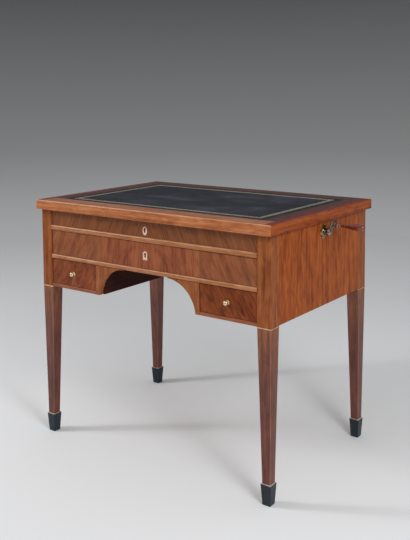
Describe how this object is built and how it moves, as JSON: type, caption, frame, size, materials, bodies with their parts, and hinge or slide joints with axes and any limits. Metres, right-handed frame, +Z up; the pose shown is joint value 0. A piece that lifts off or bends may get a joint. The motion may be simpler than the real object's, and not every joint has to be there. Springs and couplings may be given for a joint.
{
  "type": "writing table",
  "caption": "Writing table with a leather-lined top that a side crank winds up on racks, drawers round an arched kneehole, and square tapered legs.",
  "frame": {"origin": "on the floor under the middle of the box round the table and its crank handle", "axes": "+Z up, the front with its drawers towards -Y, the crank on the +X side"},
  "size_m": [0.965, 0.594, 0.755],
  "materials": {
    "mahogany": "French-polished mahogany",
    "leg_mahogany": "dark polished mahogany",
    "oak": "plain oak",
    "ebonised_wood": "black stained wood",
    "leather": "dark leather with a gilt line",
    "brass": "worn brass",
    "steel": "old bright steel",
    "bone": "polished bone"
  },
  "bodies": {
    "case": {"leg_front_left": "leg_mahogany", "leg_front_right": "leg_mahogany", "leg_back_left": "leg_mahogany", "leg_back_right": "leg_mahogany", "string_front_left": "brass", "string_front_right": "brass", "string_back_left": "brass", "string_back_right": "brass", "foot_front_left": "ebonised_wood", "foot_front_right": "ebonised_wood", "foot_back_left": "ebonised_wood", "foot_back_right": "ebonised_wood", "side_panel_left": "mahogany", "side_panel_right": "mahogany", "stile_left": "mahogany", "stile_right": "mahogany", "spandrel_left": "mahogany", "spandrel_right": "mahogany", "kneehole_board_left": "mahogany", "kneehole_board_right": "mahogany", "bottom_board_left": "mahogany", "bottom_board_right": "mahogany", "lift_guide_left": "oak", "lift_guide_right": "oak", "back_panel": "mahogany", "upper_rail": "mahogany", "lower_rail": "mahogany", "dust_board": "oak", "crank_plate": "brass", "shaft_bearing": "brass"},
    "top": {"top_panel": "mahogany", "top_end_left": "mahogany", "top_end_right": "mahogany", "leather": "leather", "rack_left": "steel", "rack_right": "steel", "post_front_left": "oak", "post_front_right": "oak", "post_back_left": "oak", "post_back_right": "oak"},
    "crank": {"shaft": "steel", "pinion_left": "brass", "pinion_right": "brass", "crank_arm": "steel"},
    "handle": {"grip": "leg_mahogany", "ferrule": "brass"},
    "upper_drawer": {"upper_drawer_front": "mahogany", "upper_drawer_box": "oak", "upper_drawer_keyhole_plate": "bone", "upper_drawer_lock": "brass"},
    "wide_drawer": {"wide_drawer_front": "mahogany", "wide_drawer_box": "oak", "wide_drawer_keyhole_plate": "bone", "wide_drawer_lock": "brass"},
    "small_drawer_left": {"small_drawer_left_front": "mahogany", "small_drawer_left_box": "oak", "knob_left": "brass"},
    "small_drawer_right": {"small_drawer_right_front": "mahogany", "small_drawer_right_box": "oak", "knob_right": "brass"}
  },
  "joints": [
    {"name": "top_lift", "type": "slide", "parent": "case", "child": "top", "axis": [0, 0, 1], "range_m": [0, 0.165]},
    {"name": "crank_turn", "type": "hinge", "parent": "case", "child": "crank", "pos_m": [-0.04755, 0, 0.6956], "axis": [1, 0, 0], "range_deg": [0, 592]},
    {"name": "handle_spin", "type": "hinge", "parent": "crank", "child": "handle", "pos_m": [0.40855, 0.0465, 0.708], "axis": [1, 0, 0], "continuous": true},
    {"name": "upper_drawer_slide", "type": "slide", "parent": "case", "child": "upper_drawer", "axis": [0, -1, 0], "range_m": [0, 0.17]},
    {"name": "wide_drawer_slide", "type": "slide", "parent": "case", "child": "wide_drawer", "axis": [0, -1, 0], "range_m": [0, 0.2]},
    {"name": "small_drawer_left_slide", "type": "slide", "parent": "case", "child": "small_drawer_left", "axis": [0, -1, 0], "range_m": [0, 0.2]},
    {"name": "small_drawer_right_slide", "type": "slide", "parent": "case", "child": "small_drawer_right", "axis": [0, -1, 0], "range_m": [0, 0.2]}
  ],
  "couplings": [
    {"joint": "crank_turn", "follows": "top_lift", "rad_per_m": 62.5}
  ]
}
